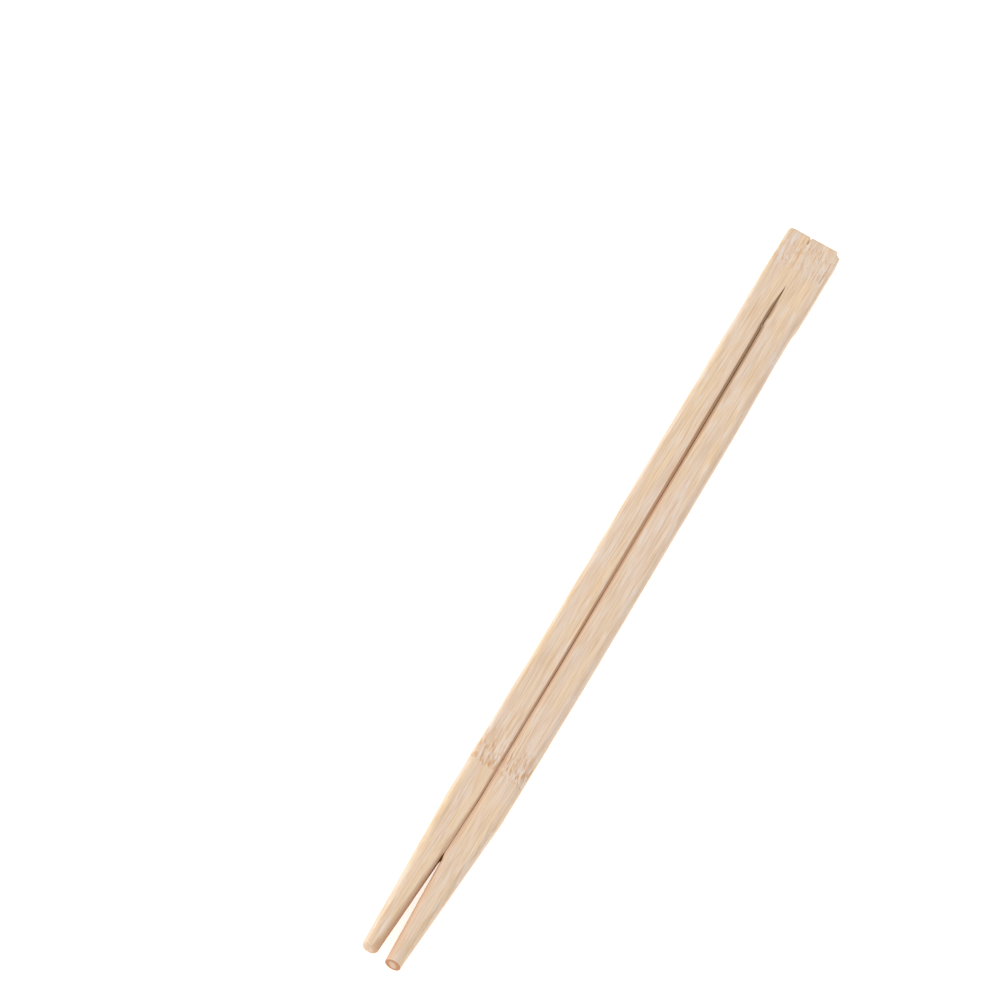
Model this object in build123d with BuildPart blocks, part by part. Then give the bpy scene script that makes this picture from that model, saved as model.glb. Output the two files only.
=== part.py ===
from build123d import *
import os

# Twin bamboo chopsticks: one flat strip, milled into two sticks that still share a whole head.
# The pair lies on Z = 0. X runs across it and Y along it, with the head at +Y and the tips at -Y.
# The origin is on the underside, in the middle of the length and of the width. Millimetres.

# ---- Overall sizes ----
length = 230.0
strip_width = 14.8          # from the head's left side to the right shaft's widest place
thickness = 5.0

# ---- Head ----
head_length = 18.0          # from the head's end to the point where the slit starts
head_inset_right = 0.25     # the head's right side, in from the strip's
head_edge = 0.6             # rounding of the head's long edges
worn_corner = 1.6           # rounded left corner of the head's end
chip_width = 1.3            # fibres broken out of the right corner
chip_depth = 1.0
chip_slant = 0.6            # the broken ledge runs further down towards the side
nick_width = 0.7            # small notch split into the head's end
nick_depth = 1.0
nick_place = -1.37          # its place across the head, from the middle of the strip

# ---- Milled run-out and waist below the head ----
runout_length = 8.0         # the slit opens from a point to its full width
shoulder_length = 2.5       # the outer flanks step in over this length
waist_length = 12.0         # the shafts stay narrow where the cutter plunged in, shoulder included
waist_fade = 27.0           # and swell again over this length
waist_inset_left = 0.15     # outer flanks at the waist, in from the strip's sides
waist_inset_right = 0.62

# ---- Shafts ----
shaft_edge = 1.3            # rounding of the outer long edges of each stick
slit_edge_left = 0.25       # rounding of the long edges along the slit
slit_edge_right = 0.45
sanded_edge_right = 1.0     # and of the right stick's, where the taper starts
belly_place = 145.0         # widest place of the right shaft, from the head's end
fade_inset_left = 0.38      # outer flanks where the waist has faded out
fade_inset_right = 0.17
belly_inset_left = 1.2
belly_inset_right = 0.0
taper_inset_left = 1.2      # outer flanks where the taper starts
taper_inset_right = 0.24

# ---- Slit between the shafts: a groove milled into each face, and a saw cut that joins them ----
groove_depth = 1.0
groove_width_head = 1.0     # full width at the surface, just below the run-out
groove_width_belly = 0.7
groove_width_taper = 0.5
saw_cut = 0.1
split_gap = 0.3             # where the inner flanks start to part
slit_place_head = -0.67     # the slit's middle, from the middle of the strip
slit_place_waist = -0.45
slit_place_fade = -0.17
slit_place_belly = 0.42
slit_place_taper = 0.53
slit_place_split = 0.08

# ---- Tapered tips ----
taper_length = 43.0         # the outer flanks, the top and the underside close in over this length
split_length = 27.0         # the inner flanks only over this one
tip_width = 3.57            # across each tip, just above its end
tip_gap = 2.3               # between the two tips
tip_place = -0.07           # the middle of that gap, from the middle of the strip
tip_flat = 0.2              # flat left on each side of the nearly round tip
right_tip_ease = 0.18       # bevel around the sawn end of the right tip
left_tip_ease = 0.95        # the left tip is sanded rounder
left_tip_short = 0.5        # and ends a little earlier

# ---- Worked out ----
head_end = length / 2
half_strip = strip_width / 2
head_side = half_strip - head_inset_right
slit_start = head_end - head_length
shoulder_top = slit_start - runout_length
shoulder_foot = shoulder_top - shoulder_length
waist_end = shoulder_top - waist_length
fade_end = waist_end - waist_fade
belly = head_end - belly_place
tip_end = -length / 2
taper_start = tip_end + taper_length
split_start = tip_end + split_length
tip_round = (tip_width - tip_flat) / 2


def across(y):
    """Plane that stands across the pair at y, with X to the right and its own Y upwards."""
    return Plane.XZ.offset(-y)


def shaft_station(side, y, place, groove, cut, inset, slit_edge, outer_edge=shaft_edge):
    """Section of full thickness: y, then the stick's inner flank at the surface and at the saw cut,
    its outer flank, its height, the groove's depth, and the roundings of the inner and outer edges."""
    inner = place + side * groove / 2
    wall = place + side * cut / 2
    outer = side * (half_strip - inset)
    return (y, inner, wall, outer, thickness, groove_depth, slit_edge, outer_edge)


def round_station(y, inner, outer, height, edge):
    """Section with no groove, whose four edges have one rounding."""
    return (y, inner, inner, outer, height, edge + (height / 2 - edge) / 2, edge, edge)


def tip_station(side, y, ease):
    """Nearly round section of a tip, drawn in by ease all round."""
    inner = tip_place + side * (tip_gap / 2 + ease)
    outer = tip_place + side * (tip_gap / 2 + tip_width - ease)
    return round_station(y, inner, outer, tip_width - 2 * ease, tip_round - ease)


def split_station(side, taper, tip):
    """Section where the inner flanks start to part, on the straight run from taper to tip."""
    share = (taper_length - split_length) / taper_length
    inner = slit_place_split + side * split_gap / 2
    outer, height, edge = (taper[i] + share * (tip[i] - taper[i]) for i in (3, 4, 7))
    return round_station(split_start, inner, outer, height, edge)


def stick_stations(side, insets, slit_edges, tip_short, tip_ease):
    """Sections of one stick, from the head to the tip. side is -1 for the left stick, 1 for the right."""
    head, waist, fade, belly_inset, taper_inset = insets
    edge, sanded_edge = slit_edges
    wide, narrow = groove_width_head, groove_width_belly
    taper = shaft_station(
        side, taper_start, slit_place_taper, groove_width_taper, saw_cut, taper_inset, sanded_edge
    )
    tip = tip_station(side, tip_end + tip_short + tip_ease, 0)
    return [
        shaft_station(side, slit_start, slit_place_head, 0, 0, head, head_edge / 4, head_edge),
        shaft_station(side, shoulder_top, slit_place_head, wide, saw_cut, head, edge),
        shaft_station(side, shoulder_foot, slit_place_head, wide, saw_cut, waist, edge),
        shaft_station(side, waist_end, slit_place_waist, wide, saw_cut, waist, edge),
        shaft_station(side, fade_end, slit_place_fade, wide, saw_cut, fade, edge),
        shaft_station(side, belly, slit_place_belly, narrow, saw_cut, belly_inset, edge),
        taper,
        split_station(side, taper, tip),
        tip,
        tip_station(side, tip_end + tip_short, tip_ease),
    ]


def stick_section(station):
    """Section across one stick, centred on the thickness: a rounded rectangle that is let in at the
    inner side by its half of the two grooves."""
    y, inner, wall, outer, height, depth, inner_edge, outer_edge = station
    low = (thickness - height) / 2
    high = low + height
    with BuildSketch(across(y)) as section:
        with BuildLine():
            FilletPolyline(
                (inner, low), (outer, low), (outer, high), (inner, high),
                (wall, high - depth), (wall, low + depth),
                radius=[inner_edge, outer_edge, outer_edge, inner_edge, 0, 0],
                close=True,
            )
        make_face()
    return section.sketch


left_stick = stick_stations(
    -1,
    (0, waist_inset_left, fade_inset_left, belly_inset_left, taper_inset_left),
    (slit_edge_left, slit_edge_left),
    left_tip_short,
    left_tip_ease,
)
right_stick = stick_stations(
    1,
    (head_inset_right, waist_inset_right, fade_inset_right, belly_inset_right, taper_inset_right),
    (slit_edge_right, sanded_edge_right),
    0,
    right_tip_ease,
)

with BuildPart() as chopstick_pair:
    # Whole head, with one worn corner and eased long edges
    with BuildSketch(Plane.XY) as outline:
        with Locations((-half_strip, head_end)):
            Rectangle(half_strip + head_side, head_length, align=(Align.MIN, Align.MAX))
        fillet(outline.vertices().group_by(Axis.Y)[-1].sort_by(Axis.X)[0], worn_corner)
    extrude(amount=thickness)
    fillet(chopstick_pair.edges().filter_by(Axis.Y), head_edge)

    # The two sticks, skinned from each section to the next
    for stick in (left_stick, right_stick):
        for upper, lower in zip(stick, stick[1:]):
            loft(sections=[stick_section(upper), stick_section(lower)], ruled=True)

    # Chip out of the right corner, and the notch split into the head's end
    with BuildSketch(Plane.XY):
        with BuildLine():
            Polyline(
                (head_side - chip_width, head_end),
                (head_side - chip_width, head_end - chip_depth),
                (head_side, head_end - chip_depth - chip_slant),
                (head_side, head_end),
                close=True,
            )
        make_face()
        with BuildLine():
            Polyline(
                (nick_place - nick_width / 2, head_end),
                (nick_place, head_end - nick_depth),
                (nick_place + nick_width / 2, head_end),
                close=True,
            )
        make_face()
    extrude(amount=thickness, mode=Mode.SUBTRACT)

chopstick_pair.part.label = "chopstick_pair"
os.makedirs("parts", exist_ok=True)
export_step(chopstick_pair.part, "parts/chopstick_pair.step")
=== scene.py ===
import math

import bmesh
import bpy
import numpy as np
from bpy.props import FloatProperty, FloatVectorProperty, PointerProperty
from bpy.types import Operator, Panel, PropertyGroup
from mathutils import Matrix, Vector


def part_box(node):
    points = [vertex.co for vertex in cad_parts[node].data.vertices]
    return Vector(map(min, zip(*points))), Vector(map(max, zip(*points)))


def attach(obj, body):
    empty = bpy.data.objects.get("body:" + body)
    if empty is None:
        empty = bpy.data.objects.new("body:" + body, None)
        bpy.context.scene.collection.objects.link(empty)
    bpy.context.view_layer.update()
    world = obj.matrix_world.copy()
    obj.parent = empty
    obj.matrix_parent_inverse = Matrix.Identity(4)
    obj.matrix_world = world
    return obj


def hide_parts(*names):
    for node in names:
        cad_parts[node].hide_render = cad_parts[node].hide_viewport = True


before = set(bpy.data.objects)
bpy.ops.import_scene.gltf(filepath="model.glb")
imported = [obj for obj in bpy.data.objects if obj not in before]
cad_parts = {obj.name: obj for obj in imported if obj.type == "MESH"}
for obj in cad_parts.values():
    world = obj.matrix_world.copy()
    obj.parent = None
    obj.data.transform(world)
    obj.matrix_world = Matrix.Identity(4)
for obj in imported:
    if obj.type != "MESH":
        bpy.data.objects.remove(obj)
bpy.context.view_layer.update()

# Twin bamboo chopsticks, joined at the head. X runs across the pair, Y along it with the head
# at +Y, and Z up from the surface that they lie on. Everything is in metres.

bl_info = {
    "name": "Joined Bamboo Chopsticks",
    "version": (1, 0, 0),
    "blender": (4, 5, 0),
    "location": "3D View > Sidebar > Chopsticks",
    "description": "Builds a joined pair of bamboo chopsticks over the packed frame",
    "category": "Object",
}

MM = 0.001
NODE = "chopstick_pair"
SKIN = "joined_sticks"
LOW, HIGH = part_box(NODE)

# Half the stretch along the pair over which a broken line's corners are rounded
CORNER_WINDOW = 1.2 * MM
SLIT_WINDOW = 2.5 * MM
FLANK_WINDOW = 0.9 * MM

# Distances between rings of points, and how far past a feature its closer rings reach
HEAD_STEP = 0.36 * MM
FORK_STEP = 0.4 * MM
SHAFT_STEP = 1.3 * MM
NODE_STEP = 0.35 * MM
TAPER_STEP = 0.95 * MM
STEP_MARGIN = 1.5 * MM

# The growth node's slant across the sticks, its swelling and its pits. The fibres' relief is
# sunk by GRAIN_SINK times its own height, so that it stays below the milled shape.
NODE_SLANT = 0.11
SWELL_HEIGHT = 0.02 * MM
SWELL_PLACE = 1.2 * MM
SWELL_REACH = 2.2 * MM
PIT_DEPTH = 0.05 * MM
GRAIN_SINK = 1.2

# Height of the broken fibres in the chip and of the saw's marks, and over what length the wear
# of the head's end and the pinch in the slit die out
CHIP_ROUGHNESS = 0.12 * MM
SAW_ROUGHNESS = 0.03 * MM
WEAR_REACH = 6 * MM
PINCH_REACH = 1.5 * MM

# Points closer than this are one, and edges sharper than this stay sharp in the shading
MERGE_DISTANCE = 2e-7
SHARP_ANGLE = math.radians(50)


# ---------------------------------------------------------------- properties

def length_property(name, millimetres, description):
    """A distance, given in millimetres and kept in metres."""
    return FloatProperty(name=name, description=description, default=millimetres * MM,
                         subtype="DISTANCE", unit="LENGTH", precision=5)


def colour_property(name, red, green, blue, description):
    """A colour, given as display values from 0 to 255 and kept linear."""
    shown = np.array((red, green, blue)) / 255
    linear = np.where(shown <= 0.04045, shown / 12.92, ((shown + 0.055) / 1.055) ** 2.4)
    return FloatVectorProperty(name=name, description=description, subtype="COLOR", size=3,
                               min=0, max=1, default=tuple(float(c) for c in linear))


class PairSizes(PropertyGroup):
    """Sizes of the milled strip and of the finer wear.

    They are the construction's, but for the shallower nick and the slit, which fuzz closes.
    """
    head_length: length_property("Head length", 18.0, "From the head's end to where the slit starts")
    head_inset_right: length_property("Head inset", 0.25, "The head's right side, in from the strip's")
    head_edge: length_property("Head edge", 0.6, "Rounding of the head's long edges")
    worn_corner: length_property("Worn corner", 1.6, "Rounded corner of the head's end")
    chip_width: length_property("Chip width", 1.3, "Width of the fibres broken out of the other corner")
    chip_depth: length_property("Chip depth", 1.0, "How far down the chip reaches")
    chip_slant: length_property("Chip slant", 0.6, "How much further down it reaches at the side")
    nick_width: length_property("Nick width", 0.7, "Width of the notch split into the head's end")
    nick_depth: length_property("Nick depth", 0.8, "Depth of that notch")
    nick_place: length_property("Nick place", -1.37, "Its place across the head")
    end_skew: length_property("End skew", 0.3, "How far the sawn end leans back at the chipped side")
    saw_ease: length_property("Saw ease", 0.12, "Rounding around the sawn end of the head")
    runout_length: length_property("Run-out length", 8.0, "Over which the slit opens from its point")
    shoulder_length: length_property("Shoulder length", 2.5, "Over which the outer flanks step in")
    waist_length: length_property("Waist length", 12.0, "Narrow stretch below the shoulder's top")
    waist_fade: length_property("Waist fade", 27.0, "Over which the shafts swell again")
    waist_inset_left: length_property("Left waist inset", 0.15, "Left flank there, in from the strip's side")
    waist_inset_right: length_property("Right waist inset", 0.62, "Right flank there")
    shaft_edge: length_property("Shaft edge", 1.3, "Rounding of the outer long edges of each stick")
    slit_edge_left: length_property("Left slit edge", 0.25, "Rounding of the left stick's edges at the slit")
    slit_edge_right: length_property("Right slit edge", 0.45, "Rounding of the right stick's")
    sanded_edge_right: length_property("Sanded edge", 1.0, "The right one, where the taper starts")
    belly_place: length_property("Belly place", 145.0, "Widest place of the right shaft, from the end")
    fade_inset_left: length_property("Left fade inset", 0.38, "Left flank where the waist has faded")
    fade_inset_right: length_property("Right fade inset", 0.17, "Right flank there")
    belly_inset_left: length_property("Left belly inset", 1.2, "Left flank at the belly")
    belly_inset_right: length_property("Right belly inset", 0.0, "Right flank there")
    taper_inset_left: length_property("Left taper inset", 1.2, "Left flank where the taper starts")
    taper_inset_right: length_property("Right taper inset", 0.24, "Right flank there")
    fuzz_share: FloatProperty(name="Fuzz share", default=0.68,
                              description="Depth at which fuzz closes the slit, as a share of its width")
    fuzz_least: length_property("Fuzz least", 0.3, "The least such depth")
    fuzz_end: length_property("Fuzz end", 1.2, "Over which the fuzz gives way where the tips part")
    groove_width_head: length_property("Groove width, head", 1.0, "Width just below the run-out")
    groove_width_belly: length_property("Groove width, belly", 0.7, "Width at the belly")
    groove_width_taper: length_property("Groove width, taper", 0.5, "Width where the taper starts")
    saw_cut: length_property("Saw cut", 0.02, "What the fuzz leaves open between the two grooves")
    split_gap: length_property("Split gap", 0.3, "Gap where the inner flanks start to part")
    slit_place_head: length_property("Slit place, head", -0.67, "The slit's middle at the head")
    slit_place_waist: length_property("Slit place, waist", -0.45, "At the waist's foot")
    slit_place_fade: length_property("Slit place, fade", -0.17, "Where the waist has faded")
    slit_place_belly: length_property("Slit place, belly", 0.42, "At the belly")
    slit_place_taper: length_property("Slit place, taper", 0.53, "Where the taper starts")
    slit_place_split: length_property("Slit place, split", 0.08, "Where the tips part")
    taper_length: length_property("Taper length", 43.0, "Length of the tapered tips")
    split_length: length_property("Split length", 27.0, "Length over which the tips part")
    tip_width: length_property("Tip width", 3.57, "Across each tip, just above its end")
    tip_gap: length_property("Tip gap", 2.3, "Between the two tips")
    tip_place: length_property("Tip place", -0.07, "The middle of that gap")
    tip_flat: length_property("Tip flat", 0.2, "Flat left on each side of the round tip")
    right_tip_ease: length_property("Right tip ease", 0.18, "Rounding around the sawn right tip")
    left_tip_ease: length_property("Left tip ease", 0.95, "Rounding around the sanded left tip")
    left_tip_short: length_property("Left tip short", 0.5, "How much earlier the left tip ends")
    pinch_place: length_property("Pinch place", 84.2, "Where fibres left on the right stick narrow the slit")
    pinch_depth: length_property("Pinch depth", 0.3, "By how much they do")
    grain_depth: length_property("Grain depth", 0.022, "Height of the fibres' relief")
    node_place: length_property("Node place", -63.2, "Lower edge of the growth node across the shafts")
    node_length: length_property("Node length", 11.0, "How far the node's marks reach towards the head")


class BambooColours(PropertyGroup):
    """Colours of the wood before light falls on it; the slit's two colours also hold painted shade."""
    flesh: colour_property("Flesh", 227, 206, 184, "Pale wood between the fibres")
    cream: colour_property("Cream", 237, 209, 174, "Yellower strips")
    rose: colour_property("Rose", 230, 207, 187, "Pinker, paler strips")
    dusk: colour_property("Dusk", 214, 190, 166, "Darker, greyer strips")
    fibre: colour_property("Fibre", 214, 173, 131, "Fibre bundles seen lengthwise")
    mark: colour_property("Mark", 204, 150, 98, "Ochre marks at the nodes")
    chalk: colour_property("Chalk", 232, 219, 210, "Pale, pinkish flecks")
    sawn: colour_property("Sawn end", 200, 169, 142, "End grain")
    rim: colour_property("Rim", 176, 118, 76, "Brown rim of the sawn tip")
    # The slit's colour is the sawn walls' brown, darkened further as painted shade of the narrow slit; Gloom
    # is painted shade near the joined end
    slit: colour_property("Slit", 204, 162, 128, "Sawn walls of the slit")
    gloom: colour_property("Gloom", 178, 144, 112, "Slit near the joined end, where least light gets in")


class StageSettings(PropertyGroup):
    """Camera, light and floor."""
    azimuth: FloatProperty(name="Azimuth", description="Camera's turn to the right of the sticks",
                           default=math.radians(10.0), subtype="ANGLE", unit="ROTATION")
    elevation: FloatProperty(name="Elevation", description="Camera's height above the floor, as an angle",
                             default=math.radians(53.0), subtype="ANGLE", unit="ROTATION")
    roll: FloatProperty(name="Roll", description="Camera's turn about its own line of sight",
                        default=math.radians(20.5), subtype="ANGLE", unit="ROTATION")
    lens: FloatProperty(name="Lens", description="Focal length in millimetres on a 36 mm sensor",
                        default=129.6)
    distance: length_property("Distance", 813.19, "From the camera to the point that it looks at")
    aim_across: length_property("Aim across", -31.075, "That point's place across the pair")
    aim_along: length_property("Aim along", 4.145, "That point's place along the pair")
    floor_half: length_property("Floor half width", 3000.0, "Half the width of the floor")
    floor_colour: colour_property("Floor", 250, 250, 250, "Colour of the floor")
    floor_glow: FloatProperty(name="Floor glow", default=0.55,
                              description="Light that the floor gives off, as a light table does")
    key_place: FloatVectorProperty(name="Key place", description="Where the soft light hangs", size=3,
                                   default=(-0.95, -0.1, 0.5), subtype="TRANSLATION", unit="LENGTH")
    key_width: length_property("Key width", 900.0, "One side of the soft light")
    key_depth: length_property("Key depth", 700.0, "Its other side")
    key_power: FloatProperty(name="Key light", description="Power of the soft light on the left",
                             default=6.2, subtype="POWER", unit="POWER")
    sky_strength: FloatProperty(name="Sky", description="Strength of the even white surround",
                                default=0.8)


# ---------------------------------------------------------------- shapes worked out with numpy

def smooth(value):
    """0 below 0, 1 above 1, and 3t^2 - 2t^3 in between."""
    t = np.clip(value, 0, 1)
    return t * t * (3 - 2 * t)


def rounded_runs(y, stations, window=CORNER_WINDOW):
    """Value at y of the straight runs through (place, value) stations, with rounded corners.

    The value is the mean of the broken line over a short window along y. The first and last
    runs go straight on past their ends.
    """
    places, values = np.array(sorted(stations)).T
    slope_low = (values[1] - values[0]) / (places[1] - places[0])
    slope_high = (values[-1] - values[-2]) / (places[-1] - places[-2])
    places = np.concatenate(([places[0] - window], places, [places[-1] + window]))
    values = np.concatenate(([values[0] - slope_low * window], values,
                             [values[-1] + slope_high * window]))
    shifts = np.linspace(-window, window, 9)
    return np.mean([np.interp(y + shift, places, values) for shift in shifts], axis=0)


def spaced(stretches):
    """Places along the stick: each (from, to, step) stretch divided evenly, ends shared."""
    parts = []
    for first, last, step in stretches:
        count = max(1, int(round(abs(last - first) / step)))
        parts.append(np.linspace(first, last, count, endpoint=False))
    return np.concatenate(parts + [[stretches[-1][1]]])


class Places:
    """Where things are along the pair, worked out from the sizes and the frame's box."""

    def __init__(self, sizes):
        self.head_end = HIGH[1]
        self.tip_end = LOW[1]
        self.top = HIGH[2]
        self.half_strip = (HIGH[0] - LOW[0]) / 2
        self.head_side = self.half_strip - sizes.head_inset_right
        self.slit_start = self.head_end - sizes.head_length
        self.shoulder_top = self.slit_start - sizes.runout_length
        self.shoulder_foot = self.shoulder_top - sizes.shoulder_length
        self.waist_end = self.shoulder_top - sizes.waist_length
        self.fade_end = self.waist_end - sizes.waist_fade
        self.belly = self.head_end - sizes.belly_place
        self.taper_start = self.tip_end + sizes.taper_length
        self.split_start = self.tip_end + sizes.split_length


def grain(x, y, z, seed=11, count=26):
    """Relief of the fibres, between about -1 and 1.

    A sum of sine ridges that run along y. Ridge k has a pitch across the fibres of 0.4 to
    1.9 mm, lies in its own direction in the x-z plane, and its phase and height drift slowly
    along y, so that ridges wander, rise and die out.
    """
    draw = np.random.default_rng(seed)
    total = np.zeros(np.broadcast(x, y, z).shape)
    weight = 0.0
    for _ in range(count):
        pitch = (0.4 + 1.5 * draw.random() ** 2) * MM
        angle = draw.uniform(0, math.pi)
        phase, drift, swell = draw.uniform(0, 2 * math.pi, 3)
        drift_length, swell_length = draw.uniform(25, 80, 2) * MM
        across = (x * math.cos(angle) + z * math.sin(angle)) / pitch
        wander = 1.3 * np.sin(2 * math.pi * y / drift_length + drift)
        height = 0.55 + 0.45 * np.sin(2 * math.pi * y / swell_length + swell)
        total += pitch * height * np.sin(2 * math.pi * across + phase + wander)
        weight += pitch ** 2 / 2
    return total / math.sqrt(weight) / 2


def knots(x, y, seed=5, count=14):
    """Short pits of the node, between 0 and 1: products of a sine across and one along, cut off."""
    draw = np.random.default_rng(seed)
    total = np.zeros(np.broadcast(x, y).shape)
    for _ in range(count):
        pitch_across = draw.uniform(0.55, 1.2) * MM
        pitch_along = draw.uniform(1.6, 3.4) * MM
        lean = draw.uniform(-0.25, 0.25)
        phase_across, phase_along = draw.uniform(0, 2 * math.pi, 2)
        total += (np.sin(2 * math.pi * (x + lean * y) / pitch_across + phase_across)
                  * np.sin(2 * math.pi * y / pitch_along + phase_along))
    return np.clip(total / math.sqrt(count) * 1.6 - 0.35, 0, 1)


# Hairline cracks in the top of the head: place across, from and to along, half width, depth
CRACKS = (
    (-1.44 * MM, 112.0 * MM, 113.9 * MM, 0.13 * MM, 0.40 * MM),
    (5.98 * MM, 102.6 * MM, 110.6 * MM, 0.10 * MM, 0.14 * MM),
)


def relief(x, y, z, sizes, places):
    """Height of the surface over the milled shape, mostly below it: fibres, nodes and cracks."""
    lift = sizes.grain_depth * (grain(x, y, z) - GRAIN_SINK)
    foot = sizes.node_place - NODE_SLANT * x
    node = smooth((y - foot) / (0.5 * MM)) * (1 - smooth((y - foot) / sizes.node_length))
    swell = np.exp(-((y - foot - SWELL_PLACE) / SWELL_REACH) ** 2)
    head_node = (smooth((y - places.slit_start - 3 * MM) / (3 * MM))
                 * (1 - smooth((y - places.head_end + 4 * MM) / (3 * MM))))
    lift += SWELL_HEIGHT * swell - PIT_DEPTH * (node + 0.8 * head_node) * knots(x, y)
    for crack_x, low_y, high_y, half, depth in CRACKS:
        along = smooth((y - low_y) / (0.5 * MM)) * smooth((high_y - y) / (0.3 * MM))
        lift -= depth * along * np.exp(-((x - crack_x) / half) ** 2) * (z > places.top / 2)
    return lift


def end_wear(x, z, sizes, places):
    """How far the head's sawn end stands back at each place across it.

    The worn corner is a quarter circle, the chip a ledge that slants down to the side, the
    nick a V, and on top of them come the saw's slight skew and roughness.
    """
    left = np.clip(x + places.half_strip, 0, sizes.worn_corner)
    corner = sizes.worn_corner - np.sqrt(
        np.maximum(sizes.worn_corner ** 2 - (sizes.worn_corner - left) ** 2, 0))
    right = places.head_side - x
    ledge = sizes.chip_depth + sizes.chip_slant * (1 - right / sizes.chip_width)
    ledge += CHIP_ROUGHNESS * np.sin(x / (0.11 * MM) + z / (0.5 * MM))
    chip = ledge * smooth((sizes.chip_width - right) / (0.2 * MM))
    nick = sizes.nick_depth * np.maximum(1 - abs(x - sizes.nick_place) / (sizes.nick_width / 2), 0) ** 1.6
    skew = sizes.end_skew * (x + places.half_strip) / (places.half_strip + places.head_side)
    rough = SAW_ROUGHNESS * (1 + np.sin(x / (0.13 * MM) + 2 * np.sin(z / (0.9 * MM)))
                             * np.sin(z / (0.31 * MM) + x / (0.7 * MM)))
    return corner + chip + nick + skew + rough


def unit_profile(flat, arc, flank):
    """One closed turn around a rounded rectangle, in unit numbers, with the groups' starts.

    Each column holds how far it lies across and up the straight parts (0 to 1), the direction
    in which its rounding pushes it out, and whether that rounding is the outer or inner one.
    The turn starts at the top's inner end and goes outwards, down, back and up. Down the flanks
    the columns lie at (1 - cos t) / 2, closer together towards the edges.
    """
    def quarter(start):
        angle = start + np.linspace(0, math.pi / 2, arc, endpoint=False)
        return np.sin(angle), np.cos(angle)

    run = np.linspace(0, 1, flat, endpoint=False)
    drop = (1 - np.cos(np.linspace(0, math.pi, flank, endpoint=False))) / 2
    # Place across, place up, push across, push up, and 1 on the outer side
    groups = (
        (run, 1, 0, 1, 1),
        (1, 1, *quarter(0), 1),
        (1, 1 - drop, 1, 0, 1),
        (1, 0, *quarter(math.pi / 2), 1),
        (1 - run, 0, 0, -1, 0),
        (0, 0, *quarter(math.pi), 0),
        (0, drop, -1, 0, 0),
        (0, 1, *quarter(math.pi * 1.5), 0),
    )
    columns = [np.stack(np.broadcast_arrays(*group)) for group in groups]
    starts = np.cumsum([0] + [column.shape[1] for column in columns])
    return np.concatenate(columns, axis=1), starts


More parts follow.
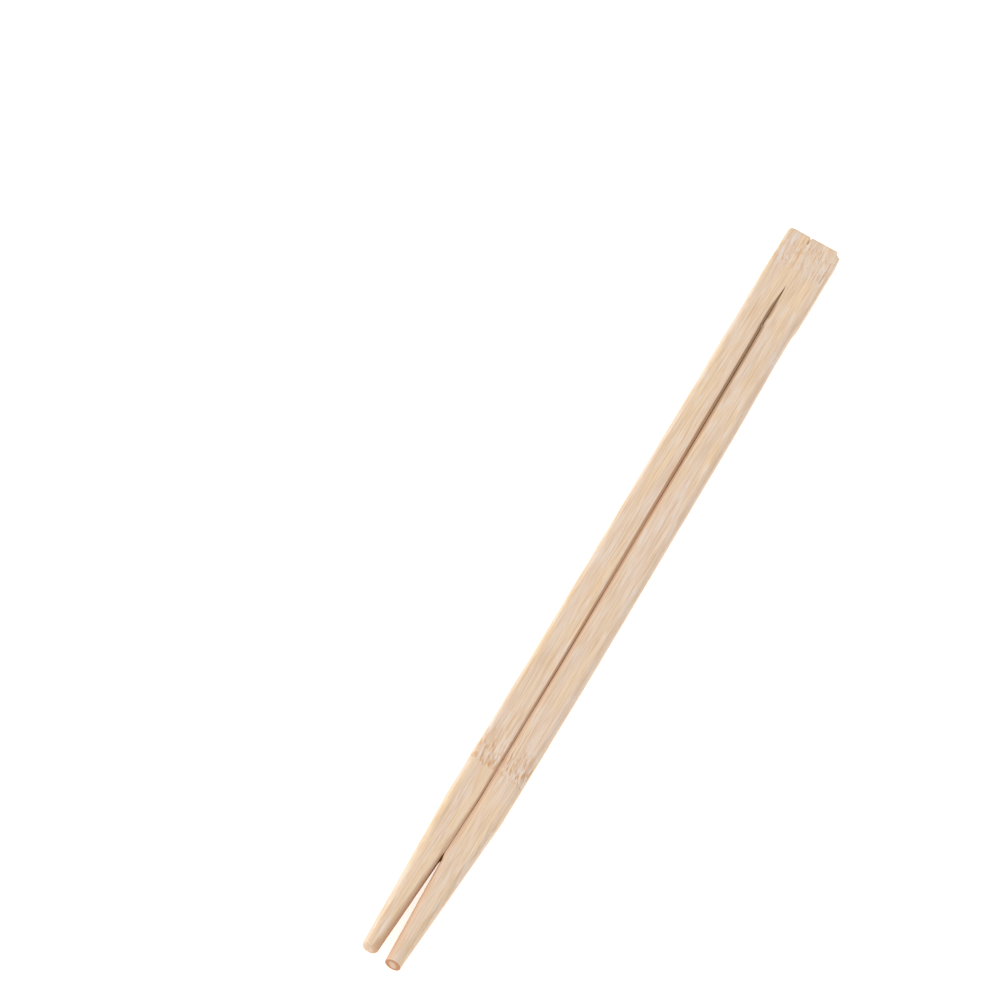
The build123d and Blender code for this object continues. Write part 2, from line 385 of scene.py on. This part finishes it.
class Stick:
    """One of the two sticks, from the head's end to its tip, as a grid of rings and columns."""

    FLAT, ARC, FLANK = 34, 8, 18
    END_RINGS = 6

    def __init__(self, side, sizes, places):
        self.side, self.sizes, self.places = side, sizes, places
        left = side < 0
        self.short = sizes.left_tip_short if left else 0.0
        self.ease = sizes.left_tip_ease if left else sizes.right_tip_ease
        self.insets = [0.0 if left else sizes.head_inset_right]
        self.insets += [getattr(sizes, name + ("_left" if left else "_right"))
                        for name in ("waist_inset", "fade_inset", "belly_inset", "taper_inset")]
        self.profile, self.starts = unit_profile(self.FLAT, self.ARC, self.FLANK)
        self.y = self.ring_places()
        self.fork = int(np.argmin(abs(self.y - places.slit_start)))
        self.points = self.skin()

    def ring_places(self):
        """Rings close together at the ends, the fork and the nodes, and wider apart between."""
        sizes, places = self.sizes, self.places
        tip = places.tip_end + self.short
        turn = np.linspace(0, math.pi / 2, self.END_RINGS, endpoint=False)
        head_turn = places.head_end - sizes.saw_ease * (1 - np.cos(turn))
        tip_turn = tip + self.ease * (1 - np.cos(turn[::-1]))
        node = sizes.node_place
        middle = spaced((
            (places.head_end - sizes.saw_ease, places.slit_start, HEAD_STEP),
            (places.slit_start, places.shoulder_foot - STEP_MARGIN, FORK_STEP),
            (places.shoulder_foot - STEP_MARGIN, node + sizes.node_length, SHAFT_STEP),
            (node + sizes.node_length, node - STEP_MARGIN, NODE_STEP),
            (node - STEP_MARGIN, tip + self.ease, TAPER_STEP),
        ))
        return np.concatenate((head_turn, middle, tip_turn))

    def section(self):
        """At each ring: inner and outer flank, lowest z, height, the inner and outer edges'
        roundings, how far the wall below the groove stands out, and the groove's depth."""
        sizes, places, y = self.sizes, self.places, self.y
        head, waist, fade, belly, taper = self.insets
        slit = rounded_runs(y, (
            (places.slit_start, sizes.slit_place_head), (places.shoulder_top, sizes.slit_place_head),
            (places.waist_end, sizes.slit_place_waist), (places.fade_end, sizes.slit_place_fade),
            (places.belly, sizes.slit_place_belly), (places.taper_start, sizes.slit_place_taper),
            (places.split_start, sizes.slit_place_split), (places.tip_end, sizes.tip_place)), SLIT_WINDOW)
        gap = rounded_runs(y, (
            (places.slit_start, 0), (places.shoulder_top, sizes.groove_width_head),
            (places.fade_end, sizes.groove_width_head), (places.belly, sizes.groove_width_belly),
            (places.taper_start, sizes.groove_width_taper), (places.split_start, sizes.split_gap),
            (places.tip_end, sizes.tip_gap))) / 2
        half = places.half_strip
        outer = rounded_runs(y, (
            (places.head_end, half - head), (places.shoulder_top, half - head),
            (places.shoulder_foot, half - waist), (places.waist_end, half - waist),
            (places.fade_end, half - fade), (places.belly, half - belly),
            (places.taper_start, half - taper),
            (places.tip_end, self.side * sizes.tip_place + sizes.tip_gap / 2 + sizes.tip_width)),
            FLANK_WINDOW)
        height = rounded_runs(y, (
            (places.head_end, places.top), (places.taper_start, places.top),
            (places.tip_end, sizes.tip_width)))
        tip_round = (sizes.tip_width - sizes.tip_flat) / 2
        shaft = ((places.shoulder_top, sizes.shaft_edge), (places.taper_start, sizes.shaft_edge),
                 (places.tip_end, tip_round))
        outer_edge = rounded_runs(y, ((places.slit_start, sizes.head_edge), *shaft))
        outer_edge = np.where(y >= places.slit_start, sizes.head_edge, outer_edge)
        edges = ((sizes.slit_edge_left, sizes.slit_edge_left) if self.side < 0
                 else (sizes.slit_edge_right, sizes.sanded_edge_right))
        inner_edge = rounded_runs(y, (
            (places.slit_start, 0), (places.shoulder_top, edges[0]), (places.belly, edges[0]),
            (places.taper_start, edges[1]), (places.tip_end, tip_round)))
        below = y < places.slit_start - 1e-9
        pinch = np.exp(-((y - sizes.pinch_place) / PINCH_REACH) ** 2)
        gap -= sizes.pinch_depth * pinch * (self.side > 0)
        inner_edge = np.where(below, np.maximum(inner_edge, 0), 0)
        gap = np.where(below, np.maximum(gap, 0), 0)
        parted = smooth((places.split_start + sizes.fuzz_end - y) / sizes.fuzz_end)
        wall = np.minimum(sizes.saw_cut / 2 + gap * parted, gap)
        slit = np.where(y > places.slit_start, sizes.slit_place_head, slit)
        depth = np.maximum(sizes.fuzz_share * 2 * gap, sizes.fuzz_least)

        head_inset = self.quarter_round(places.head_end - y, sizes.saw_ease)
        tip_inset = self.quarter_round(y - places.tip_end - self.short, self.ease)
        inset = head_inset + tip_inset
        return (slit + self.side * (gap + tip_inset), self.side * (outer - inset),
                (places.top - height) / 2 + inset, height - 2 * inset,
                np.maximum(inner_edge - tip_inset, 0), outer_edge - inset, gap - wall, depth)

    @staticmethod
    def quarter_round(depth, radius):
        """How far a surface draws in at this depth below an end that is rounded to a radius."""
        rise = np.clip(1 - depth / radius, 0, 1)
        return radius * (1 - np.sqrt(np.maximum(1 - rise ** 2, 0)))

    def skin(self):
        """The grid of points: the profile carried along y, then worn, and lifted by the relief.

        Deeper than the groove, the inner flank stands out towards the other stick as fuzz.
        """
        sizes, places, side = self.sizes, self.places, self.side
        inner, outer, low, height, inner_edge, outer_edge, bulge, groove = (
            v[:, None] for v in self.section())
        across, up, push_x, push_z, is_outer = (v[None, :] for v in self.profile)
        edge = inner_edge + (outer_edge - inner_edge) * is_outer
        start = inner + side * inner_edge
        stop = outer - side * outer_edge
        x = start + (stop - start) * across + side * edge * push_x
        z = low + edge + (height - 2 * edge) * up + edge * push_z
        depth = np.minimum(z - low, low + height - z)
        closing = smooth((depth / groove - 0.5) * 2) * smooth(bulge / (0.08 * MM)) * (1 - is_outer)
        x = x + (inner - side * bulge - x) * closing
        y = np.broadcast_to(self.y[:, None], x.shape)

        depth = places.head_end - y
        y = y - end_wear(x, z, sizes, places) * (1 - smooth(depth / WEAR_REACH))
        above_tip = self.y[:, None] - places.tip_end - self.short
        at_ends = smooth(depth / (0.8 * MM)) * smooth(above_tip / (2 * MM))
        flat = inner_edge <= 0
        turned_in = (1 - is_outer) * (push_x < 0)
        out_x = np.where(flat & (turned_in > 0), 0, side * push_x)
        out_z = np.where(flat & (turned_in > 0), np.sign(push_z), push_z)
        lift = relief(x, y, z, sizes, places) * at_ends
        points = np.stack((x + out_x * lift, y, z + out_z * lift), axis=-1)
        return self.close_fork(np.clip(points, LOW, HIGH))

    def close_fork(self, points):
        """Draws the inner wall's first ring onto one upright line, which both sticks share."""
        ring, starts = points[self.fork], self.starts
        bottom, top = ring[starts[5]].copy(), ring[0].copy()
        ring[starts[5]:starts[6]] = bottom
        ring[starts[7]:] = top
        climb = self.profile[1][starts[6]:starts[7]][:, None]
        ring[starts[6]:starts[7]] = bottom + (top - bottom) * climb
        return points

    def quads(self):
        """Corner numbers of the skin's faces, without the walls inside the whole head."""
        rings, columns = self.points.shape[:2]
        number = np.arange(rings * columns).reshape(rings, columns)
        right = np.roll(number, -1, axis=1)
        faces = np.stack((number[:-1], right[:-1], right[1:], number[1:]), axis=-1)
        keep = np.ones((rings - 1, columns), bool)
        keep[:self.fork, self.starts[5]:] = False
        faces = faces[keep]
        return faces[:, ::-1] if self.side > 0 else faces

    def wall_share(self):
        """How much each point of the skin belongs to the slit's wall, 0 to 1: where the slit's colour, with
        its painted shade, goes.
        """
        facing = np.clip(-self.profile[2] * (1 - self.profile[4]), 0, 1)
        return np.broadcast_to(facing, self.points.shape[:2])

    def cap(self, ring, tops, bottoms):
        """Grid that closes one end: straight upright lines from the top's points to the bottom's."""
        share = (1 - np.cos(np.linspace(0, math.pi, self.FLANK + 1)))[:, None, None] / 2
        top, bottom = self.points[ring][tops], self.points[ring][bottoms]
        return top + (bottom - top) * share

    def caps(self):
        """The sawn end of the head on this side, and the end of the tip."""
        starts, columns = self.starts, self.profile.shape[1]
        half = np.arange(0, starts[2] + 1)
        head = self.cap(0, half, starts[5] - half)
        head[..., 1] = self.places.head_end - end_wear(head[..., 0], head[..., 2], self.sizes, self.places)
        tops = np.concatenate((np.arange(starts[7], columns), half))
        bottoms = np.concatenate((np.arange(starts[6], starts[5], -1), starts[5] - half))
        tip = self.cap(-1, tops, bottoms)
        return (head, self.side > 0), (tip, self.side < 0)


def grid_quads(rows, columns, forward):
    """Corner numbers of a grid's faces."""
    number = np.arange(rows * columns).reshape(rows, columns)
    faces = np.stack((number[:-1, :-1], number[:-1, 1:], number[1:, 1:], number[1:, :-1]), axis=-1)
    faces = faces.reshape(-1, 4)
    return faces if forward else faces[:, ::-1]


def merged_mesh(name, points, faces, attributes):
    """Mesh of the quads, with doubles merged, unused points dropped and smooth shading."""
    used, renumbered = np.unique(faces, return_inverse=True)
    mesh = bpy.data.meshes.new(name)
    mesh.from_pydata(points[used].tolist(), [], renumbered.reshape(faces.shape).tolist())
    for key, values in attributes.items():
        layer = mesh.attributes.new(key, "FLOAT", "POINT")
        layer.data.foreach_set("value", values[used].astype(np.float32))
    shape = bmesh.new()
    shape.from_mesh(mesh)
    bmesh.ops.remove_doubles(shape, verts=shape.verts, dist=MERGE_DISTANCE)
    open_edges = sum(1 for e in shape.edges if len(e.link_faces) != 2)
    if open_edges:
        raise RuntimeError(f"{name} has {open_edges} open edges")
    shape.to_mesh(mesh)
    shape.free()
    mesh.shade_smooth()
    mesh.set_sharp_from_angle(angle=SHARP_ANGLE)
    return mesh


def pair_mesh(sizes):
    """Both sticks and the whole head as one closed surface."""
    places = Places(sizes)
    points, faces, marks = [], [], []
    count = 0
    for side in (-1, 1):
        stick = Stick(side, sizes, places)
        grids = [(stick.points, stick.quads(), stick.wall_share())]
        for grid, forward in stick.caps():
            shape = grid.shape[:2]
            grids.append((grid, grid_quads(*shape, forward), np.zeros(shape)))
        for grid, quads, wall in grids:
            flat = grid.reshape(-1, 3)
            points.append(flat)
            faces.append(quads + count)
            marks.append((*end_marks(flat, stick, places), wall.ravel()))
            count += len(flat)
    attributes = {name: np.concatenate(values)
                  for name, values in zip(("sawn", "rim", "wall"), zip(*marks))}
    return merged_mesh(NODE + "_skin", np.concatenate(points), np.concatenate(faces), attributes)


def end_marks(points, stick, places):
    """How much each point belongs to a sawn end, and how near it is to that end's rim (0 to 1)."""
    x, y, z = points.T
    sizes = stick.sizes
    tip = places.tip_end + stick.short
    at_tip = smooth(1 - (y - tip) / (stick.ease * 0.75))
    wear = end_wear(x, z, sizes, places)
    at_head = smooth(1 - (places.head_end - wear - y) / (0.25 * MM))
    middle = sizes.tip_place + stick.side * (sizes.tip_gap + sizes.tip_width) / 2
    right, up = x - middle, z - places.top / 2
    reach = np.hypot(right, up) / (sizes.tip_width / 2) + 0.1 * np.sin(2 * np.arctan2(up, right) + 0.6)
    sanded = 0.6 if stick.side < 0 else 1.0
    return np.maximum(at_tip * sanded, at_head), at_tip * (stick.side > 0) * smooth((reach - 0.35) / 0.35)


def sliver(start, end, bow, width, thickness):
    """A loose fibre: an ellipse carried along a bowed line and drawn to a point at both ends.

    The line is start + (end - start) t + 4 bow t (1 - t), and the ellipse is scaled by
    sin(pi t) to the power 0.6.
    """
    t = np.linspace(0, 1, 25)[:, None, None]
    turn = np.linspace(0, 2 * math.pi, 12, endpoint=False)[None, :, None]
    start, end, bow = (np.array(v) * MM for v in (start, end, bow))
    line = start + (end - start) * t + 4 * bow * t * (1 - t)
    along = (end - start) / np.linalg.norm(end - start)
    side = np.cross(along, (0, 0, 1))
    side /= np.linalg.norm(side)
    up = np.cross(side, along)
    swell = np.sin(math.pi * t).clip(0) ** 0.6
    ring = side * np.cos(turn) * width * MM / 2 + up * np.sin(turn) * thickness * MM / 2
    return line + swell * ring


def closed_tube_quads(rings, columns):
    """Corner numbers of a tube's faces, wrapped round."""
    number = np.arange(rings * columns).reshape(rings, columns)
    right = np.roll(number, -1, axis=1)
    faces = np.stack((number[:-1], number[1:], right[1:], right[:-1]), axis=-1)
    return faces.reshape(-1, 4)


# ---------------------------------------------------------------- shader expressions

class Value:
    """A shader socket that takes part in Python arithmetic; each operation adds its Math node."""

    def __init__(self, graph, socket):
        self.graph, self.socket = graph, socket

    def __add__(self, other):
        return self.graph.math("ADD", self, other)

    def __radd__(self, other):
        return self.graph.math("ADD", other, self)

    def __sub__(self, other):
        return self.graph.math("SUBTRACT", self, other)

    def __rsub__(self, other):
        return self.graph.math("SUBTRACT", other, self)

    def __mul__(self, other):
        return self.graph.math("MULTIPLY", self, other)

    def __rmul__(self, other):
        return self.graph.math("MULTIPLY", other, self)

    def __truediv__(self, other):
        return self.graph.math("DIVIDE", self, other)

    def __pow__(self, other):
        return self.graph.math("POWER", self, other)

    def __abs__(self):
        return self.graph.math("ABSOLUTE", self)


class Graph:
    """A material's node tree, built by expressions."""

    def __init__(self, name):
        self.material = bpy.data.materials.new(name)
        self.material.use_nodes = True
        self.tree = self.material.node_tree
        self.tree.nodes.clear()

    def node(self, kind, settings=None, sockets=None, output=0):
        """Adds a node: its settings first, then the values or links of its sockets."""
        made = self.tree.nodes.new(kind)
        for key, value in (settings or {}).items():
            setattr(made, key, value)
        for key, value in (sockets or {}).items():
            if isinstance(value, Value):
                self.tree.links.new(value.socket, made.inputs[key])
            else:
                made.inputs[key].default_value = value
        return Value(self, made.outputs[output]) if made.outputs else None

    def math(self, operation, *values):
        return self.node("ShaderNodeMath", {"operation": operation}, dict(enumerate(values)))

    def step(self, value, low, high):
        """0 below low, 1 above high, and smooth between; falls if high is the lower one."""
        return self.node("ShaderNodeMapRange", {"interpolation_type": "SMOOTHSTEP"},
                         {"Value": value, "From Min": low, "From Max": high})

    def mix(self, share, first, second):
        """Colour mixed from first towards second."""
        colours = [c if isinstance(c, Value) else (*c, 1) for c in (first, second)]
        return self.node("ShaderNodeMix", {"data_type": "RGBA"},
                         {0: share, 6: colours[0], 7: colours[1]}, 2)

    def vector(self, x, y, z):
        return self.node("ShaderNodeCombineXYZ", {}, {0: x, 1: y, 2: z})

    def noise(self, vector, detail=2.0):
        return self.node("ShaderNodeTexNoise", {}, {
            "Vector": vector, "Scale": 1.0, "Detail": detail, "Roughness": 0.55})

    def attribute(self, name):
        return self.node("ShaderNodeAttribute", {"attribute_name": name}, {}, "Fac")

    def finish(self, colour, roughness, height, bump, specular, glow=0.0):
        """Principled surface with a bump of the given depth, and an even white glow."""
        normal = self.node("ShaderNodeBump", {}, {"Strength": 1.0, "Distance": bump, "Height": height})
        surface = self.node("ShaderNodeBsdfPrincipled", {}, {
            "Base Color": colour, "Roughness": roughness, "Normal": normal,
            "Specular IOR Level": specular, "Emission Color": (1, 1, 1, 1), "Emission Strength": glow})
        self.node("ShaderNodeOutputMaterial", {}, {"Surface": surface})
        return self.material


# Brown spots of the nodes: place across and along, half width, half length, all in millimetres
SPOTS = (
    (-5.35, -61.6, 0.42, 0.75),
    (-4.0, -58.9, 0.34, 0.85),
    (-1.5, -62.0, 0.35, 0.55),
    (-4.9, 104.6, 0.26, 0.7),
    (-4.05, 104.6, 0.22, 0.6),
    (5.9, -61.2, 0.3, 1.3),
)


def bamboo(colours, sizes):
    """Milled bamboo: pale flesh, long fibre bundles, knotted marks at the nodes, browner cuts."""
    graph = Graph("bamboo")
    place = graph.node("ShaderNodeTexCoord", {}, {}, "Object")
    split = graph.node("ShaderNodeSeparateXYZ", {}, {0: place})
    axes = split.socket.node.outputs
    x, y, z = (Value(graph, axes[i]) / MM for i in range(3))

    def stretched(across, along, lean=0.0, shift=0.0):
        """Coordinates in which a pattern is this many millimetres wide and long."""
        return graph.vector((x + y * lean) / across, y / along + shift, z / across)

    drift = graph.noise(graph.vector(x / 9, y / 26, z / 9), 1.0) - 0.5
    wavy_x = x + drift * 0.8

    def fibres(across, along, shift=0.0):
        """Noise drawn out along the wood, this many millimetres wide and long."""
        return graph.noise(graph.vector(wavy_x / across, y / along + shift, z / across))

    fine = fibres(0.2, 9)
    streak = fibres(0.36, 30)
    yellow = fibres(0.8, 36, 2.1)
    shade = fibres(0.36, 15, 5.7)
    broad = fibres(2.4, 50, 1.3)
    pale = graph.noise(stretched(1.8, 9, 0, 7.3))
    bundle = graph.node("ShaderNodeTexVoronoi", {"feature": "SMOOTH_F1"}, {
        "Vector": graph.vector(wavy_x / 0.5, y / 34, z / 0.5), "Scale": 1.0,
        "Smoothness": 0.25, "Randomness": 1.0}, "Distance")
    strand = graph.step(bundle, 0.36, 0.1) * graph.step(streak, 0.42, 0.58)

    # The growth node across the shafts, and the one that the head was cut through
    ragged = (graph.noise(stretched(1.1, 3)) - 0.5) * 1.8
    foot = sizes.node_place / MM - x * NODE_SLANT + ragged
    above = y - foot
    fade = sizes.node_length / MM
    node = graph.step(above, -0.2, 0.4) * graph.step(above, fade * 1.25, fade * 0.15)
    head_low = (HIGH[1] - sizes.head_length) / MM
    head_node = graph.step(y, head_low + 2, head_low + 8) * graph.step(y, head_low + 17.5, head_low + 14)
    tail = graph.step(above, 0.5, 4) * graph.step(above, fade * 2.2, fade * 0.8)
    upright = graph.noise(stretched(0.3, 2.8, 0.04), 1.0)
    leaning = graph.noise(stretched(0.42, 2.6, 0.18), 1.0)
    fleck = graph.noise(stretched(0.4, 3.2, 0.1, 4.1), 1.0)
    long_fleck = graph.noise(stretched(0.34, 7, 0.03, 2.2), 1.0)
    dashes = (graph.step(upright, 0.54, 0.66) * (node + head_node * 0.7)
              + graph.step(leaning, 0.56, 0.66) * node
              + graph.step(long_fleck, 0.44, 0.34) * (tail * 0.5 + head_node * 0.4))
    flecks = (graph.step(fleck, 0.54, 0.64) * (node + head_node * 0.6)
              + graph.step(long_fleck, 0.54, 0.64) * (tail + head_node) * 0.6)
    line = graph.step(abs(above), 0.4, 0.1) * graph.step(graph.noise(stretched(0.7, 5), 1.0), 0.4, 0.6)

    spots = 0.0
    for spot_x, spot_y, half, reach in SPOTS:
        radius = graph.math("SQRT", ((x - spot_x) / half) ** 2 + ((y - spot_y) / reach) ** 2)
        spots = graph.step(radius, 1.1, 0.3) + spots
    cracks = 0.0
    for crack_x, low_y, high_y, half, _ in CRACKS:
        along = graph.step(y, low_y / MM, low_y / MM + 0.4) * graph.step(y, high_y / MM, high_y / MM - 0.4)
        cracks = graph.step(abs(x - crack_x / MM), half / MM * 1.4, half / MM * 0.3) * along + cracks

    colour = graph.mix(graph.step(broad, 0.36, 0.64), colours.rose, colours.cream)
    colour = graph.mix(graph.step(yellow, 0.4, 0.6) * 0.45, colour, colours.flesh)
    colour = graph.mix(graph.step(pale, 0.5, 0.66) * 0.5, colour, colours.chalk)
    colour = graph.mix(graph.step(shade, 0.46, 0.64) * 0.6, colour, colours.dusk)
    colour = graph.mix(graph.step(fine, 0.48, 0.64) * 0.55, colour, colours.fibre)
    colour = graph.mix(strand * 0.6, colour, colours.fibre)
    colour = graph.mix(flecks * 0.8, colour, colours.chalk)
    colour = graph.mix(dashes * 0.55, colour, colours.mark)
    colour = graph.mix(line * 0.35, colour, colours.mark)
    colour = graph.mix(spots * 0.6, colour, colours.mark)
    # The hairline cracks take the slit's colour, and with it its painted shade
    colour = graph.mix(cracks * 0.8, colour, colours.slit)
    sawn = graph.attribute("sawn")
    pores = graph.step(bundle, 0.42, 0.2)
    grain_end = graph.mix(pores * 0.3, colours.sawn, colours.mark)
    colour = graph.mix(sawn * 0.8, colour, grain_end)
    colour = graph.mix(graph.attribute("rim") * 0.8, colour, colours.rim)
    # Painted shade: the slit's walls are darker than the flesh, and darker still towards the joined end,
    # where least light gets in
    slit = graph.mix(graph.step(y, 20, 80), colours.slit, colours.gloom)
    colour = graph.mix(graph.attribute("wall") * 0.85, colour, slit)
    height = fine * 0.5 + streak * 0.3 - strand * 0.35 - dashes * 0.4 - cracks + flecks * 0.15
    roughness = 0.62 + fine * 0.2
    return graph.finish(colour, roughness, height, 0.05 * MM, 0.3)


def plain(name, colour, roughness, glow):
    """Even surface for the floor, with a glow and the faintest unevenness in its gloss."""
    graph = Graph(name)
    place = graph.node("ShaderNodeTexCoord", {}, {}, "Object")
    cloud = graph.noise(graph.node("ShaderNodeVectorMath", {"operation": "SCALE"},
                                   {0: place, "Scale": 9.0}))
    return graph.finish(graph.mix(cloud * 0.02, colour, (0.8, 0.8, 0.8)), roughness + cloud * 0.05,
                        cloud, 0.01 * MM, 0.2, glow)


# ---------------------------------------------------------------- operators

def new_piece(context, name, mesh, material):
    """Object at the origin with the mesh and one material."""
    mesh.materials.clear()
    mesh.materials.append(material)
    piece = bpy.data.objects.new(name, mesh)
    context.scene.collection.objects.link(piece)
    return piece


class CHOPSTICKS_OT_pair(Operator):
    """Builds the two sticks and their head as one closed surface"""
    bl_idname = "chopsticks.pair"
    bl_label = "Build the Pair"

    def execute(self, context):
        scene = context.scene
        material = bamboo(scene.bamboo_colours, scene.pair_sizes)
        piece = new_piece(context, SKIN, pair_mesh(scene.pair_sizes), material)
        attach(piece, "root")
        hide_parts(NODE)
        return {"FINISHED"}


class CHOPSTICKS_OT_fibres(Operator):
    """Adds the loose fibres that the saw and the cutter left in the slit"""
    bl_idname = "chopsticks.fibres"
    bl_label = "Add Loose Fibres"

    # start, end, bow, width, thickness, in millimetres
    FIBRES = (
        ((-1.05, 83.7, 4.5), (-0.3, 82.0, 4.62), (0.05, 0.0, 0.06), 0.3, 0.1),
        ((-1.0, 82.9, 4.42), (-0.4, 81.7, 4.55), (0.0, 0.1, 0.05), 0.18, 0.08),
    )

    def execute(self, context):
        grids = [sliver(*fibre) for fibre in self.FIBRES]
        rings, columns = grids[0].shape[:2]
        points = np.concatenate([grid.reshape(-1, 3) for grid in grids])
        faces = np.concatenate([closed_tube_quads(rings, columns) + k * rings * columns
                                for k in range(len(grids))])
        # The loose fibres take the slit's colour in full, painted shade included
        mesh = merged_mesh("slit_fibres", points, faces, {"wall": np.ones(len(points))})
        piece = new_piece(context, "slit_fibres", mesh, bpy.data.objects[SKIN].data.materials[0])
        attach(piece, "root")
        return {"FINISHED"}


class CHOPSTICKS_OT_stage(Operator):
    """Lays the floor and sets the lights and the camera"""
    bl_idname = "chopsticks.stage"
    bl_label = "Set the Stage"

    def execute(self, context):
        stage = context.scene.stage_settings
        self.lay_floor(context, stage)
        self.light(context, stage)
        self.camera(context, stage)
        return {"FINISHED"}

    def lay_floor(self, context, stage):
        """Flat square sheet: x and y run over the same even spacing, z is 0."""
        half = stage.floor_half
        run = np.linspace(-half, half, 9)
        x, y = np.meshgrid(run, run)
        mesh = bpy.data.meshes.new("floor")
        points = np.stack((x, y, 0 * x), axis=-1).reshape(-1, 3)
        mesh.from_pydata(points.tolist(), [], grid_quads(9, 9, True).tolist())
        floor = new_piece(context, "floor", mesh, plain("floor", stage.floor_colour, 0.6, stage.floor_glow))

    def light(self, context, stage):
        """A broad soft light high on the left, and an even white surround."""
        world = bpy.data.worlds.new("surround")
        world.use_nodes = True
        background = world.node_tree.nodes["Background"]
        background.inputs["Color"].default_value = (1, 1, 1, 1)
        background.inputs["Strength"].default_value = stage.sky_strength
        context.scene.world = world
        lamp = bpy.data.lights.new("key", "AREA")
        lamp.shape = "RECTANGLE"
        lamp.size = stage.key_width
        lamp.size_y = stage.key_depth
        lamp.energy = stage.key_power
        key = bpy.data.objects.new("key", lamp)
        key.location = stage.key_place
        key.rotation_euler = (-key.location).to_track_quat("-Z", "Y").to_euler()
        context.scene.collection.objects.link(key)

    def camera(self, context, stage):
        """Camera that looks down along the sticks from the tips' side, turned about its own axis."""
        azimuth, elevation = stage.azimuth, stage.elevation
        sight = Vector((-math.sin(azimuth) * math.cos(elevation),
                        math.cos(azimuth) * math.cos(elevation), -math.sin(elevation)))
        level = Vector((math.cos(azimuth), math.sin(azimuth), 0))
        upright = level.cross(sight)
        up = upright * math.cos(stage.roll) - level * math.sin(stage.roll)
        right = level * math.cos(stage.roll) + upright * math.sin(stage.roll)
        lens = bpy.data.cameras.new("camera")
        lens.lens = stage.lens
        lens.clip_start, lens.clip_end = 0.05, 20
        camera = bpy.data.objects.new("camera", lens)
        aim = Vector((stage.aim_across, stage.aim_along, 0))
        turn = Matrix((right, up, -sight)).transposed().to_4x4()
        camera.matrix_world = Matrix.Translation(aim - sight * stage.distance) @ turn
        context.scene.collection.objects.link(camera)
        context.scene.camera = camera


class CHOPSTICKS_PT_panel(Panel):
    """Lists the steps and the sizes and colours"""
    bl_idname = "CHOPSTICKS_PT_panel"
    bl_label = "Joined Bamboo Chopsticks"
    bl_space_type = "VIEW_3D"
    bl_region_type = "UI"
    bl_category = "Chopsticks"

    def draw(self, context):
        layout, scene = self.layout, context.scene
        for step in STEPS:
            layout.operator(step.bl_idname)
        for group in (scene.pair_sizes, scene.bamboo_colours, scene.stage_settings):
            box = layout.box()
            for key in group.bl_rna.properties.keys():
                if key not in ("rna_type", "name"):
                    box.prop(group, key)


STEPS = (CHOPSTICKS_OT_pair, CHOPSTICKS_OT_fibres, CHOPSTICKS_OT_stage)
CLASSES = (PairSizes, BambooColours, StageSettings, *STEPS, CHOPSTICKS_PT_panel)


def register():
    for cls in CLASSES:
        bpy.utils.register_class(cls)
    bpy.types.Scene.pair_sizes = PointerProperty(type=PairSizes)
    bpy.types.Scene.bamboo_colours = PointerProperty(type=BambooColours)
    bpy.types.Scene.stage_settings = PointerProperty(type=StageSettings)


def unregister():
    del bpy.types.Scene.stage_settings
    del bpy.types.Scene.bamboo_colours
    del bpy.types.Scene.pair_sizes
    for cls in reversed(CLASSES):
        bpy.utils.unregister_class(cls)


def main():
    """Registers everything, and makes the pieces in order."""
    register()
    bpy.context.scene.view_settings.view_transform = "Standard"
    bpy.ops.chopsticks.pair()
    bpy.ops.chopsticks.fibres()
    bpy.ops.chopsticks.stage()


if __name__ == "__main__":
    main()
